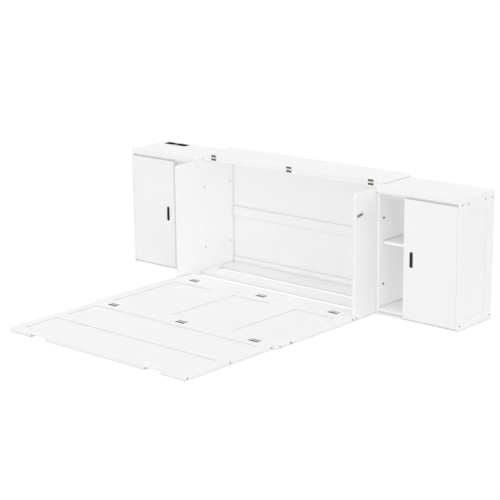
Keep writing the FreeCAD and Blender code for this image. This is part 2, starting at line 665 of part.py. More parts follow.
rear_length = f"({REAR_START} - {REAR_END})"
rear_sides = platform_sides("rear_deck_side_rails", HALF, "rear_deck_side", REAR_END, rear_length)
REAR_HALF = f"({HALF} - rear_deck_side)"
rear_back_rail = board("rear_deck_back_rail", (f"-{REAR_HALF}", f"{REAR_START} - rear_deck_back_rail", "0"),
                       (f"2 * {REAR_HALF}", "rear_deck_back_rail", "deck_thickness"))
rear_front_rail = board("rear_deck_front_rail", (f"-{REAR_HALF}", REAR_END, "0"),
                        (f"2 * {REAR_HALF}", "rear_deck_front_rail", "deck_thickness"))
seat_deck_hinges(rear_back_rail, -1, BASE_AXIS_Y)
seat_deck_hinges(rear_front_rail, 1, FOLD_Y)
FIELD_Y = f"({REAR_END} + rear_deck_front_rail)"
FIELD_LENGTH = f"({rear_length} - rear_deck_front_rail - rear_deck_back_rail)"
FIELD_WIDTH = f"((2 * {REAR_HALF} - 2 * rear_deck_middle) / 3)"
middle_rails = [board("rear_deck_middle_rail", (x, FIELD_Y, "0"),
                      ("rear_deck_middle", FIELD_LENGTH, "deck_thickness"), False)
                for x in (f"-{FIELD_WIDTH} / 2 - rear_deck_middle", f"{FIELD_WIDTH} / 2")]
keep(group(middle_rails), "rear_deck_middle_rails")
rear_panels = [board("rear_deck_panel", (f"-{REAR_HALF} + {i} * ({FIELD_WIDTH} + rear_deck_middle)",
                                         FIELD_Y, "deck_recess"),
                     (FIELD_WIDTH, FIELD_LENGTH, INFILL), False) for i in range(3)]
keep(group(rear_panels), "rear_deck_panels")

front_length = f"({FRONT_START} - {FOOT_Y})"
front_sides = platform_sides("front_deck_side_rails", NARROW, "front_deck_side", FOOT_Y, front_length)
FRONT_HALF = f"({NARROW} - front_deck_side)"
PANEL_LENGTH = f"(({front_length} - 2 * front_deck_end_rail - front_deck_middle) / 2)"
cross_rails = {}
for name, y, depth in (("back", f"{FRONT_START} - front_deck_end_rail", "front_deck_end_rail"),
                       ("middle", f"{FOOT_Y} + front_deck_end_rail + {PANEL_LENGTH}", "front_deck_middle"),
                       ("front", FOOT_Y, "front_deck_end_rail")):
    cross_rails[name] = board(f"front_deck_{name}_rail", (f"-{FRONT_HALF}", y, "0"),
                              (f"2 * {FRONT_HALF}", depth, "deck_thickness"))
seat_deck_hinges(cross_rails["back"], -1, FOLD_Y)
for side in (-1, 1):
    pocket(cross_rails["front"], (f"{side} * ({HALF} - hold_inset) - hold_width / 2",
                                  f"{FOOT_Y} - overrun", "-overrun"),
           ("hold_width", "front_deck_end_rail + 2 * overrun", "hold_height + overrun"))
front_panels = [board("front_deck_panel", (f"-{FRONT_HALF}", y, "deck_recess"),
                      (f"2 * {FRONT_HALF}", PANEL_LENGTH, INFILL), False)
                for y in (f"{FOOT_Y} + front_deck_end_rail",
                          f"{FRONT_START} - front_deck_end_rail - {PANEL_LENGTH}")]
keep(group(front_panels), "front_deck_panels")


def platform_bolts(half, side_width, sides, rails):
    """Bolts through the outer rails into the ends of the cross rails."""
    return [bolt_together(sign, half, y, "(deck_thickness / 2)", outer, rail, side_width)
            for sign, outer in zip((-1, 1), sides) for rail, y in rails]


rear_bolts = platform_bolts(HALF, "rear_deck_side", rear_sides, (
    (rear_back_rail, f"({REAR_START} - bolt_inset)"),
    (rear_front_rail, f"({REAR_END} + rear_deck_front_rail / 2)")))
front_bolts = platform_bolts(NARROW, "front_deck_side", front_sides, (
    (cross_rails["back"], f"({FRONT_START} - bolt_inset)"),
    (cross_rails["middle"], f"({FOOT_Y} + front_deck_end_rail + {PANEL_LENGTH} + front_deck_middle / 2)"),
    (cross_rails["front"], f"({FOOT_Y} + bolt_inset)")))
keep(group(rear_bolts), "rear_deck_bolts")
keep(group(front_bolts), "front_deck_bolts")

# Hinge rows: the base, the fold and the flap
deck_places = [f"({side} * ({HALF} - deck_hinge_inset))" for side in HINGE_PLACES]
flap_places = [f"({side} * ({HALF} - flap_hinge_inset))" for side in HINGE_PLACES]
base_at = ("0", BASE_AXIS_Y, DECK_AXIS_Z)
fold_at = ("0", FOLD_Y, DECK_AXIS_Z)
flap_at = ("0", LID_AXIS_Y, LID_AXIS_Z)
base_row = hinge_row(deck_places, "deck_leaf_length", "deck_leaf_reach", DECK_SCREWS)
fold_row = hinge_row(deck_places, "deck_leaf_length", "deck_leaf_reach", DECK_SCREWS)
flap_row = hinge_row(flap_places, "flap_leaf_length", "flap_leaf_reach", FLAP_SCREWS)
keep(group(base_row["plus"], base_at), "base_hinge_fixed_leaves")
keep(group(base_row["minus"], base_at), "base_hinge_moving_leaves")
keep(group(fold_row["plus"], fold_at), "fold_hinge_rear_leaves")
keep(group(fold_row["minus"], fold_at), "fold_hinge_front_leaves")
keep(group(fold_row["pins"], fold_at), "fold_hinge_pins")
keep(group(flap_row["minus"], flap_at, LEAVES_FACE_FRONT), "flap_hinge_fixed_leaves")
keep(group(flap_row["plus"], flap_at, LEAVES_FACE_FRONT), "flap_hinge_moving_leaves")
keep(group([group(base_row["pins"], base_at),
            group(flap_row["pins"], flap_at, LEAVES_FACE_FRONT)]), "chest_hinge_pins")

keep(group([group(base_row["plus_screws"], base_at),
            group(flap_row["minus_screws"], flap_at, LEAVES_FACE_FRONT)]), "chest_hinge_screws")
keep(group([group(base_row["minus_screws"], base_at),
            group(fold_row["plus_screws"], fold_at)]), "rear_deck_hinge_screws")
keep(group(fold_row["minus_screws"], fold_at), "front_deck_hinge_screws")
keep(group(flap_row["plus_screws"], flap_at, LEAVES_FACE_FRONT), "flap_hinge_screws")

# Latch: a bar on the right chest side that swings forward over a stud on the rear platform
PIVOT_Y = f"({SIDE_Y} + latch_setback)"
STUD_Y = f"({BASE_AXIS_Y} - stud_reach)"
LATCH_RUN = "(latch_setback + seam_gap / 2 + leaf_gap + deck_thickness / 2)"
LATCH_DROP = f"(latch_level - {DECK_AXIS_Z} - stud_reach)"
LATCH_LENGTH = f"sqrt({LATCH_RUN} * {LATCH_RUN} + {LATCH_DROP} * {LATCH_DROP})"


def headed_pin(body, y, z):
    """A pin seated in the right-hand face at X = HALF, with a head clear of the latch bar."""
    low = f"{HALF} - latch_pin_seat"
    stand = "(latch_thickness + 2 * latch_gap)"
    bore(body, (low, y, z), "latch_pin_radius + screw_fit", "latch_pin_seat", ALONG_X)
    shank = rod((low, y, z), "latch_pin_radius", f"latch_pin_seat + {stand}", ALONG_X)
    head = rod((f"{HALF} + {stand}", y, z), "latch_head_radius", "latch_head_depth", ALONG_X)
    return fuse([shank, head])


keep(headed_pin(chest_sides[1], PIVOT_Y, "latch_level"), "latch_pivot")
keep(headed_pin(rear_sides[1], STUD_Y, "(deck_thickness / 2)"), "latch_stud")
catch = "(latch_pin_radius + latch_catch_gap)"
bar = fuse([block(("0", "0", "-latch_width / 2"), ("latch_thickness", LATCH_LENGTH, "latch_width")),
            rod(("0", "0", "0"), "latch_width / 2", "latch_thickness", ALONG_X),
            rod(("0", LATCH_LENGTH, "0"), "latch_width / 2", "latch_thickness", ALONG_X)])
openings = [rod(("0", "0", "0"), "latch_pin_radius + latch_pin_clearance", "latch_thickness", ALONG_X),
            rod(("0", LATCH_LENGTH, "0"), catch, "latch_thickness", ALONG_X),
            block(("0", f"{LATCH_LENGTH} - {catch}", "0"),
                  ("latch_thickness", f"2 * {catch}", "latch_width"))]
keep(group([cut(bar, openings)], (f"{HALF} + latch_gap", PIVOT_Y, "latch_level"),
           FreeCAD.Rotation(FreeCAD.Vector(1, 0, 0), LATCH_TILT)), "latch_bar")

# Power unit, sunk in the top of the left cabinet
POWER_X = f"(-({FAR}) + power_side_gap)"
POWER_Y = f"({WALL_Y} - power_wall_gap - power_depth)"
TUB = (f"({POWER_X} + power_lip)", f"({POWER_Y} + power_lip)", "(chest_height - power_sink)")
TUB_SIZE = ("(power_length - 2 * power_lip)", "(power_depth - 2 * power_lip)",
            "(power_sink + power_bezel)")
pocket(cabinets[-1]["top"], (f"{TUB[0]} - power_fit", f"{TUB[1]} - power_fit", f"{CASE_TOP} - overrun"),
       (f"{TUB_SIZE[0]} + 2 * power_fit", f"{TUB_SIZE[1]} + 2 * power_fit", "cabinet_top + 2 * overrun"))
well = (f"(({TUB_SIZE[0]} - 2 * power_wall - power_bridge) / 2)", f"({TUB_SIZE[1]} - 2 * power_wall)",
        f"({TUB_SIZE[2]} - power_wall)")
well_spots = [(x, f"({TUB[1]} + power_wall)", f"({TUB[2]} + power_wall)")
              for x in (f"({TUB[0]} + power_wall)", f"({TUB[0]} + power_wall + {well[0]} + power_bridge)")]
housing = fuse([block((POWER_X, POWER_Y, "chest_height"), ("power_length", "power_depth", "power_bezel")),
                block(TUB, TUB_SIZE)])
keep(cut(housing, [block(spot, (well[0], well[1], f"{well[2]} + overrun")) for spot in well_spots]),
     "power_housing")
keep(group([block((f"{well_spots[0][0]} + {well[0]}", POWER_Y, "chest_height + power_bezel"),
                  ("power_bridge", "power_depth", "power_band"))]), "power_band")
INSERT_TOP = "(chest_height + power_bezel - insert_drop)"


def insert(spot, holes):
    """A block that fills one well, with its own openings."""
    start = [f"({spot[0]} + insert_fit)", f"({spot[1]} + insert_fit)", spot[2]]
    size = (f"({well[0]} - 2 * insert_fit)", f"({well[1]} - 2 * insert_fit)", f"{INSERT_TOP} - {spot[2]}")
    return cut(block(start, size), holes)


def centred_slot(x, y, width, length):
    spot = (f"{x} - {width} / 2", f"{y} - {length} / 2", f"{INSERT_TOP} - outlet_depth")
    return block(spot, (width, length, "outlet_depth + overrun"))


outlet_holes = []
port_holes = []
middle_y = f"({POWER_Y} + power_depth / 2)"
for side in (-1, 1):
    x = f"({well_spots[0][0]} + {well[0]} / 2 + {side} * outlet_pitch / 2)"
    blades_y = f"({middle_y} + outlet_round_offset / 2)"
    for blade in (-1, 1):
        outlet_holes.append(centred_slot(f"({x} + {blade} * outlet_slot_pitch / 2)", blades_y,
                                         "outlet_slot_width", "outlet_slot_length"))
    outlet_holes.append(rod((x, f"{blades_y} - outlet_round_offset", f"{INSERT_TOP} - outlet_depth"),
                            "outlet_round", "outlet_depth + overrun"))
    x = f"({well_spots[1][0]} + {well[0]} / 2 + {side} * port_pitch / 2)"
    port_holes.append(centred_slot(x, middle_y, "port_length", "port_width"))
keep(group([insert(well_spots[0], outlet_holes), insert(well_spots[1], port_holes)]), "power_inserts")

# Check every object, then write one file per node
doc.recompute()
for item in doc.Objects:
    faulty = {"Invalid", "Error"} & set(item.State)
    if faulty:
        raise RuntimeError(f"{item.Name} could not be built: {sorted(faulty)}")
os.makedirs("parts", exist_ok=True)
for node in nodes:
    if node.Shape.isNull() or not node.Shape.isValid():
        raise RuntimeError(f"{node.Label} has no sound shape")
for node in nodes:
    node.Shape.exportStep(f"parts/{node.Label}.step")
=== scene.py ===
# A white wall bed: chest, unfolded bed platform, folded-back flap and two side cabinets.
# Metres, +Z up, wall at +Y, foot of the bed at -Y.
import json
import math

import bpy
from mathutils import Matrix, Vector


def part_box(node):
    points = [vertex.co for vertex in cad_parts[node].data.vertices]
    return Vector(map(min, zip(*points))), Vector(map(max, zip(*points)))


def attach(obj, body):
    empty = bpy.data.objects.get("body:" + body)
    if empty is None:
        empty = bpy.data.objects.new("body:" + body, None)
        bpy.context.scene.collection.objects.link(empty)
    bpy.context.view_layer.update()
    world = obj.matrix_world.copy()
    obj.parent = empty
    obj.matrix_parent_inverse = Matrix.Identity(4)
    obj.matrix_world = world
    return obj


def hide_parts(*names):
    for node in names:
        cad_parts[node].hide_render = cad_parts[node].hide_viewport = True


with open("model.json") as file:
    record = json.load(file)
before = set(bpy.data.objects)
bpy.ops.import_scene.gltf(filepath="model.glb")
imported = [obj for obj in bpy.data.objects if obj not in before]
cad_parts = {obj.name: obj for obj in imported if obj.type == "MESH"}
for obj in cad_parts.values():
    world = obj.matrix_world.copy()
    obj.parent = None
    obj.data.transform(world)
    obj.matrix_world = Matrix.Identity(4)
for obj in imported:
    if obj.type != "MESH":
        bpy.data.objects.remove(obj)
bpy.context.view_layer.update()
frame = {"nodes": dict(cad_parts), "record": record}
MM = 0.001

# Faces and points this close are at one height
TOUCHING = MM / 100
# Corners this close are one corner
WELD_DISTANCE = MM / 1000
# An edge is upright where it rises over this many times its run
UPRIGHT_RATIO = 10
# A face looks up or down where its normal's share of that way is over this
LOOKING_SHARE = 0.9

# Camera, fitted to the corners of the photographed bed
CAMERA_PLACE = (6.4755, -7.0342, 2.8436)
CAMERA_YAW = 41.174
CAMERA_PITCH = -14.082
CAMERA_ROLL = -0.539
CAMERA_LENS = 108.25
CAMERA_REACH = 200
FILM_WIDTH = 36.0

# Facing of a copied fitting, from one that is made facing up
FACING_UP = Matrix.Identity(4)
FACING_FRONT = Matrix.Rotation(math.radians(90), 4, "X")
FACING_RIGHT = Matrix.Rotation(math.radians(90), 4, "Y")
FACING_LEFT = Matrix.Rotation(math.radians(-90), 4, "Y")
HALF_TURN = Matrix.Rotation(math.radians(180), 4, "Z")

# Flat sides of the round forms, more on a larger one
HEXAGON = 6
SMALL_ROUND = 24
ROUND = 32
LARGE_ROUND = 40
LARGEST_ROUND = 48


# Colours and materials
def linear(code):
    """An sRGB hex colour as linear red, green, blue and alpha."""
    channels = [int(code[i:i + 2], 16) / 255 for i in (0, 2, 4)]
    return tuple(c / 12.92 if c <= 0.04045 else ((c + 0.055) / 1.055) ** 2.4 for c in channels) + (1.0,)


def add(tree, kind, settings=None, links=None):
    """A new shader node with its settings, and links into its inputs."""
    node = tree.nodes.new(kind)
    for name, value in (settings or {}).items():
        if name in node.inputs:
            node.inputs[name].default_value = value
        else:
            setattr(node, name, value)
    for name, source in (links or {}).items():
        tree.links.new(source, node.inputs[name])
    return node


def blank_material(name):
    """A material with an empty tree, its Principled shader and object coordinates."""
    material = bpy.data.materials.new(name)
    material.use_nodes = True
    tree = material.node_tree
    tree.nodes.clear()
    shader = add(tree, "ShaderNodeBsdfPrincipled")
    add(tree, "ShaderNodeOutputMaterial", {}, {"Surface": shader.outputs["BSDF"]})
    place = add(tree, "ShaderNodeTexCoord")
    return material, tree, shader, place.outputs["Object"]


# Nearly all values of a noise lie between these
NOISE_LOW = 0.3
NOISE_HIGH = 0.7


def cloud(tree, place, size_mm, detail=3.0, stretch=(1, 1, 1)):
    """Noise whose blotches are about size_mm across, longer where stretch is above 1."""
    turns = tuple(1 / (size_mm * MM * s) for s in stretch)
    scaled = add(tree, "ShaderNodeMapping", {"Scale": turns}, {"Vector": place})
    noise = add(tree, "ShaderNodeTexNoise", {"Scale": 1.0, "Detail": detail, "Roughness": 0.55},
                {"Vector": scaled.outputs["Vector"]})
    return noise.outputs["Fac"]


def drifting(tree, place, colours, size_mm, stretch=(1, 1, 1)):
    """A colour that drifts between two hex codes, in blotches about size_mm across."""
    blotches = cloud(tree, place, size_mm, stretch=stretch)
    share = add(tree, "ShaderNodeMapRange", {"From Min": NOISE_LOW, "From Max": NOISE_HIGH},
                {"Value": blotches})
    first, second = (linear(code) for code in colours)
    mixed = add(tree, "ShaderNodeMixRGB", {"Color1": first, "Color2": second},
                {"Fac": share.outputs["Result"]})
    return mixed.outputs["Color"]


def surface(name, colours, roughness, drift_mm, grain_mm, relief_mm, stretch=(1, 1, 1), **fixed):
    """A material whose colour drifts in blotches, and whose roughness and relief have a fine grain."""
    material, tree, shader, place = blank_material(name)
    grain = cloud(tree, place, grain_mm, detail=2.0, stretch=stretch)
    ends = {"From Min": NOISE_LOW, "From Max": NOISE_HIGH, "To Min": roughness[0], "To Max": roughness[1]}
    ranged = add(tree, "ShaderNodeMapRange", ends, {"Value": grain})
    relief = add(tree, "ShaderNodeBump", {"Strength": 1.0, "Distance": relief_mm * MM}, {"Height": grain})
    tree.links.new(drifting(tree, place, colours, drift_mm, stretch), shader.inputs["Base Color"])
    tree.links.new(ranged.outputs["Result"], shader.inputs["Roughness"])
    tree.links.new(relief.outputs["Normal"], shader.inputs["Normal"])
    for socket, value in fixed.items():
        shader.inputs[socket.replace("_", " ")].default_value = value
    return material


# Painted shade: the colour runs to a faint grey in inner corners, where other faces stand close round it and
# shade falls.
CORNER_SHADE_GREY = "E0E0E0"
CORNER_REACH = 20 * MM
CORNER_SHUT = 0.35
CORNER_SAMPLES = 8


def paint_corner_shade(material):
    """Paint shade into a material: its colour runs to a faint grey where other faces stand close round it.
    """
    tree = material.node_tree
    shader = next(node for node in tree.nodes if node.type == "BSDF_PRINCIPLED")
    plain = shader.inputs["Base Color"].links[0].from_socket
    openness = add(tree, "ShaderNodeAmbientOcclusion", {"Distance": CORNER_REACH, "samples": CORNER_SAMPLES})
    share = add(tree, "ShaderNodeMapRange", {"From Min": CORNER_SHUT}, {"Value": openness.outputs["AO"]})
    mixed = add(tree, "ShaderNodeMixRGB", {"Color1": linear(CORNER_SHADE_GREY)},
                {"Fac": share.outputs["Result"], "Color2": plain})
    tree.links.new(mixed.outputs["Color"], shader.inputs["Base Color"])


# Board lacquer is sprayed: nearly even white, satin, with a faint orange peel.
# Real peel is about 2 mm across and is drawn at 5 mm so that it shows at all.
LACQUER = surface("satin_white_sprayed_lacquer", ("F6F6F6", "F4F4F4"), (0.36, 0.44),
                  drift_mm=220, grain_mm=5, relief_mm=0.008)
# Painted shade in the lacquer's inner corners
paint_corner_shade(LACQUER)
# The cabinets' inner boards are faced with melamine paper, given a whiter, smoother white than the lacquer:
# painted light that brightens the shaded cabinet interior.
LIT_MELAMINE = surface("painted_light_melamine_white", ("FDFDFD", "FBFBFB"), (0.3, 0.38),
                   drift_mm=260, grain_mm=6, relief_mm=0.006)
# Painted shade in the inner corners of the interior white too
paint_corner_shade(LIT_MELAMINE)
# Hinge leaves are rolled antique brass, dull and lightly brushed along the hinge.
BRASS = surface("antique_rolled_brass", ("7C7461", "5F5848"), (0.34, 0.5),
                drift_mm=14, grain_mm=0.8, relief_mm=0.01, stretch=(8, 1, 1), Metallic=1.0)
# Knuckles and pins are turned brass in a near-white tone, a painted highlight for the glint along the
# barrel.
HIGHLIGHT_BRASS = surface("painted_highlight_turned_brass", ("FBF5E6", "F1E9D4"), (0.16, 0.26),
                     drift_mm=6, grain_mm=0.6, relief_mm=0.006, stretch=(1, 4, 4), Metallic=1.0)
# Hinge screws carry a darker brass plating that wears to steel in the recess.
SCREW_BRASS = surface("dark_plated_screw_brass", ("6E6248", "4B432F"), (0.35, 0.5),
                      drift_mm=3, grain_mm=0.6, relief_mm=0.01, Metallic=1.0)
# Zinc plating is a bright bluish grey with small blotches.
ZINC = surface("zinc_plated_steel", ("A7A9AB", "8C8F92"), (0.28, 0.42),
               drift_mm=4, grain_mm=0.7, relief_mm=0.008, Metallic=1.0)
# The nuts inside the chest are nickel plated, brighter and a little warmer than zinc.
NICKEL = surface("bright_nickel_plate", ("E4E2DD", "D2D0CB"), (0.24, 0.36),
                 drift_mm=4, grain_mm=0.7, relief_mm=0.006, Metallic=1.0)
# Black oxide on steel is a dull, slightly brown black.
BLACK_OXIDE = surface("black_oxide_steel", ("161514", "0D0C0B"), (0.5, 0.65),
                      drift_mm=4, grain_mm=0.7, relief_mm=0.008, Metallic=1.0)
# The pulls are cast zinc with a dark bronze plating, lighter on the rim.
BRONZE = surface("dark_bronze_plating", ("4C463A", "38332A"), (0.38, 0.5),
                 drift_mm=12, grain_mm=0.8, relief_mm=0.01, Metallic=0.9)
BRONZE_RIM = surface("lighter_bronze_rim", ("A89F88", "8C836D"), (0.3, 0.42),
                     drift_mm=9, grain_mm=0.8, relief_mm=0.01, Metallic=1.0)
# Moulded ABS has a fine spark-eroded texture, which keeps the black dull and the grey soft.
BLACK_ABS = surface("black_moulded_abs", ("060607", "030304"), (0.7, 0.8),
                    drift_mm=30, grain_mm=0.9, relief_mm=0.005, Specular_IOR_Level=0.03)
GREY_ABS = surface("mid_grey_moulded_abs", ("96979A", "8B8C8F"), (0.42, 0.54),
                   drift_mm=30, grain_mm=0.9, relief_mm=0.01)
# The contacts deep in the outlets and ports are tinned and lightly tarnished.
CONTACT = surface("tinned_contact_metal", ("9A9B9C", "7D7E80"), (0.35, 0.5),
                  drift_mm=3, grain_mm=0.5, relief_mm=0.005, Metallic=1.0)
# Moulded nylon is a warm off-white, slightly waxy.
NYLON = surface("natural_moulded_nylon", ("E9E8E2", "DFDED7"), (0.4, 0.52),
                drift_mm=20, grain_mm=1.0, relief_mm=0.02)
# Silicone rubber is white and matt.
SILICONE = surface("white_silicone_rubber", ("F7F7F6", "F1F1EF"), (0.5, 0.62),
                   drift_mm=12, grain_mm=0.8, relief_mm=0.02)

SLOT_FINISH = {"white_board": LACQUER, "brass": BRASS, "steel": ZINC, "black_metal": BRONZE,
               "black_plastic": BLACK_ABS, "grey_plastic": GREY_ABS, "white_nylon": NYLON}


def paint(piece, *materials):
    """Give a piece its materials in place of any that it has."""
    piece.data.materials.clear()
    for material in materials:
        piece.data.materials.append(material)


for part in frame["record"]["subparts"]:
    paint(frame["nodes"][part["node"]], SLOT_FINISH[part["material_slot"]])
# The pins get the near-white brass, a painted highlight
for node in ("chest_hinge_pins", "fold_hinge_pins"):
    paint(frame["nodes"][node], HIGHLIGHT_BRASS)
# The interior boards take the whiter white, painted light for the shaded cabinet interior
for node in ("cabinet_backs", "left_cabinet_inner_side", "right_cabinet_inner_side",
             "left_cabinet_floor", "right_cabinet_floor", "left_shelf", "right_shelf"):
    paint(frame["nodes"][node], LIT_MELAMINE)


# Modelling helpers
def to_object_mode():
    """Leave edit mode, if something is in it."""
    if bpy.context.object and bpy.context.object.mode != "OBJECT":
        bpy.ops.object.mode_set(mode="OBJECT")


def only(piece):
    """Select one piece and nothing else."""
    to_object_mode()
    bpy.ops.object.select_all(action="DESELECT")
    piece.select_set(True)
    bpy.context.view_layer.objects.active = piece


def begin(name, primitive, **settings):
    """A primitive at its size and place, named and selected alone."""
    to_object_mode()
    bpy.ops.object.select_all(action="DESELECT")
    primitive(**settings)
    bpy.context.object.name = name
    return bpy.context.object


def settle(piece):
    """Put the place, turn and scale of a piece into its mesh."""
    only(piece)
    bpy.ops.object.transform_apply(location=True, rotation=True, scale=True)
    return piece


def slab(name, centre, size):
    """A box with its place and size in its mesh."""
    piece = begin(name, bpy.ops.mesh.primitive_cube_add, size=1, location=centre)
    piece.scale = size
    return settle(piece)


def drum(name, centre, radius, depth, sides=ROUND):
    """An upright cylinder with its place in its mesh."""
    piece = begin(name, bpy.ops.mesh.primitive_cylinder_add, vertices=sides, radius=radius, depth=depth,
                  location=centre)
    return settle(piece)


def pick(piece, part, test):
    """Go to edit mode with only the vertices, edges or faces that pass a test selected."""
    only(piece)
    bpy.ops.object.mode_set(mode="EDIT")
    bpy.ops.mesh.select_mode(type={"vertices": "VERT", "edges": "EDGE", "polygons": "FACE"}[part])
    bpy.ops.mesh.select_all(action="DESELECT")
    bpy.ops.object.mode_set(mode="OBJECT")
    for element in getattr(piece.data, part):
        element.select = test(element)
    bpy.ops.object.mode_set(mode="EDIT")


def upper_face(height):
    """A test for the face that looks up at one height."""
    return lambda face: face.normal.z > LOOKING_SHARE and abs(face.center.z - height) < TOUCHING


def lower_face(height):
    """A test for the face that looks down at one height."""
    return lambda face: face.normal.z < -LOOKING_SHARE and abs(face.center.z - height) < TOUCHING


def upright_edges(piece):
    """A test for the edges that run straight up."""
    points = piece.data.vertices

    def test(edge):
        a, b = (points[i].co for i in edge.vertices)
        return abs(a.z - b.z) > UPRIGHT_RATIO * (abs(a.x - b.x) + abs(a.y - b.y))
    return test


def carve(piece, cutter):
    """Cut one piece out of another."""
    only(piece)
    change = piece.modifiers.new("carve", "BOOLEAN")
    change.object = cutter
    change.operation = "DIFFERENCE"
    change.solver = "EXACT"
    bpy.ops.object.modifier_apply(modifier=change.name)
    discard(cutter)
    return piece


def ease(piece, width, segments=2, angle=40):
    """Round every sharp edge a little."""
    only(piece)
    change = piece.modifiers.new("ease", "BEVEL")
    change.width = width
    change.segments = segments
    change.limit_method = "ANGLE"
    change.angle_limit = math.radians(angle)
    bpy.ops.object.modifier_apply(modifier=change.name)
    return piece


def smooth(piece, angle=35):
    """Shade a piece as round, apart from its edges sharper than an angle."""
    only(piece)
    bpy.ops.object.shade_smooth_by_angle(angle=math.radians(angle))
    return piece


def copies(name, master, spots):
    """One piece made of copies of a master, each moved by its own matrix."""
    made = []
    for matrix in spots:
        copy = master.copy()
        copy.data = master.data.copy()
        bpy.context.scene.collection.objects.link(copy)
        copy.data.transform(matrix)
        made.append(copy)
    return together(name, made)


def together(name, pieces):
    """Join pieces into one."""
    to_object_mode()
    bpy.ops.object.select_all(action="DESELECT")
    for piece in pieces:
        piece.select_set(True)
    bpy.context.view_layer.objects.active = pieces[0]
    if len(pieces) > 1:
        bpy.ops.object.join()
    whole = bpy.context.object
    whole.name = name
    return whole


def discard(piece):
    """Remove a piece that is only a tool."""
    bpy.data.objects.remove(piece)


def solids_of(node):
    """The lowest and highest corner of each separate solid in a CAD node."""
    copy = frame["nodes"][node].copy()
    copy.data = copy.data.copy()
    copy.parent = None
    bpy.context.scene.collection.objects.link(copy)
    only(copy)
    bpy.ops.object.mode_set(mode="EDIT")
    bpy.ops.mesh.select_all(action="SELECT")
    bpy.ops.mesh.remove_doubles(threshold=WELD_DISTANCE)
    bpy.ops.mesh.separate(type="LOOSE")
    bpy.ops.object.mode_set(mode="OBJECT")
    found = []
    for piece in list(bpy.context.selected_objects):
        points = [v.co for v in piece.data.vertices]
        low = Vector([min(p[i] for p in points) for i in range(3)])
        high = Vector([max(p[i] for p in points) for i in range(3)])
        found.append((low, high))
        discard(piece)
    return sorted(found, key=lambda corners: tuple(corners[0]))


def stand_in(piece, body, slot, *nodes):
    """Let a finished piece ride on a body in place of CAD nodes."""
    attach(piece, body)
    if nodes:
        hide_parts(*nodes)


# Platform panels: raised fields with a narrow reveal along their frames
REVEAL_WIDTH = 2 * MM
REVEAL_DEPTH = 3 * MM
FIELD_EASE = 1 * MM


def raised_panel(low, high):
    """A panel as large as its solid, with a reveal round both faces."""
    width, length, thickness = high - low
    level = thickness / 2 - REVEAL_DEPTH
    panel = slab("panel", (0, 0, 0), (width, length, 2 * level))
    for face, rise in ((upper_face(level), REVEAL_DEPTH), (lower_face(-level), -REVEAL_DEPTH)):
        pick(panel, "polygons", face)
        bpy.ops.mesh.inset(thickness=REVEAL_WIDTH)
        bpy.ops.mesh.extrude_region_move(TRANSFORM_OT_translate={"value": (0, 0, rise)})
        bpy.ops.mesh.bevel(offset=FIELD_EASE, segments=3)
        to_object_mode()
    panel.data.transform(Matrix.Translation((low + high) / 2))
    return panel


for node, body in (("rear_deck_panels", "rear_deck"), ("front_deck_panels", "front_deck")):
    panels = together(node + "_raised", [raised_panel(low, high) for low, high in solids_of(node)])
    paint(panels, LACQUER)
    stand_in(panels, body, "white_board", node)

# Hinge leaves: a rounded plate with countersunk holes and turned knuckles
KNUCKLES = 5
KNUCKLE_GAP = 0.3 * MM
KNUCKLE_EASE = 0.35 * MM
BARREL_RADIUS = 3.6 * MM
PIN_ROOM = 1.85 * MM
LEAF_GAP = 1 * MM
LEAF_THICKNESS = 2 * MM
LEAF_CORNER = 3.5 * MM
LEAF_EASE = 0.25 * MM
SCREW_ROW = 13 * MM
SINK_LOW = 1.79 * MM
SINK_HIGH = 4.07 * MM
SINK_DEPTH = 2.4 * MM


def hinge_leaf(length, root, reach, screws, first):
    """A leaf facing up: its pin along X through the origin, its plate from root to reach towards +Y."""
    level = -LEAF_GAP - LEAF_THICKNESS / 2
    plate = slab("leaf_master", (0, (root + reach) / 2, level), (length, reach - root, LEAF_THICKNESS))
    is_upright = upright_edges(plate)
    points = plate.data.vertices
    pick(plate, "edges", lambda edge: is_upright(edge) and points[edge.vertices[0]].co.y > reach - TOUCHING)
    bpy.ops.mesh.bevel(offset=LEAF_CORNER, segments=5)
    to_object_mode()
    for i in range(screws):
        along = length * ((i + 0.5) / screws - 0.5)
        sink = begin("sink", bpy.ops.mesh.primitive_cone_add, vertices=SMALL_ROUND, radius1=SINK_LOW,
                     radius2=SINK_HIGH, depth=SINK_DEPTH, location=(along, SCREW_ROW, level))
        carve(plate, settle(sink))
    paint(ease(plate, LEAF_EASE), BRASS)
    segment = length / KNUCKLES
    pieces = [plate]
    for i in range(first, KNUCKLES, 2):
        x = segment * (i + 0.5) - length / 2
        width = segment - KNUCKLE_GAP
        tab = slab("tab", (x, root / 2, level), (width, root, LEAF_THICKNESS))
        knuckle = drum("knuckle", (0, 0, 0), BARREL_RADIUS, width)
        carve(knuckle, drum("pin_hole", (0, 0, 0), PIN_ROOM, 2 * width, SMALL_ROUND))
        ease(knuckle, KNUCKLE_EASE)
        knuckle.data.transform(Matrix.Translation((x, 0, 0)) @ FACING_RIGHT)
        # Tabs and knuckles get the near-white brass, a painted highlight along the barrel
        for piece in (tab, knuckle):
            paint(piece, HIGHLIGHT_BRASS)
            pieces.append(piece)
    return smooth(together("leaf_master", pieces), angle=30)


def leaf_spots(node, towards_plus, facing):
    """Where the pin of each leaf lies, with the turn of the leaf about it."""
    turn = facing if towards_plus else facing @ HALF_TURN
    spots = []
    for low, high in solids_of(node):
        upright = facing is FACING_FRONT
        near = low.z if upright else low.y
        far = high.z if upright else high.y
        across = near + BARREL_RADIUS if towards_plus else far - BARREL_RADIUS
        y, z = (low.y + BARREL_RADIUS, across) if upright else (across, high.z - BARREL_RADIUS)
        spots.append(Matrix.Translation(((low.x + high.x) / 2, y, z)) @ turn)
    return spots
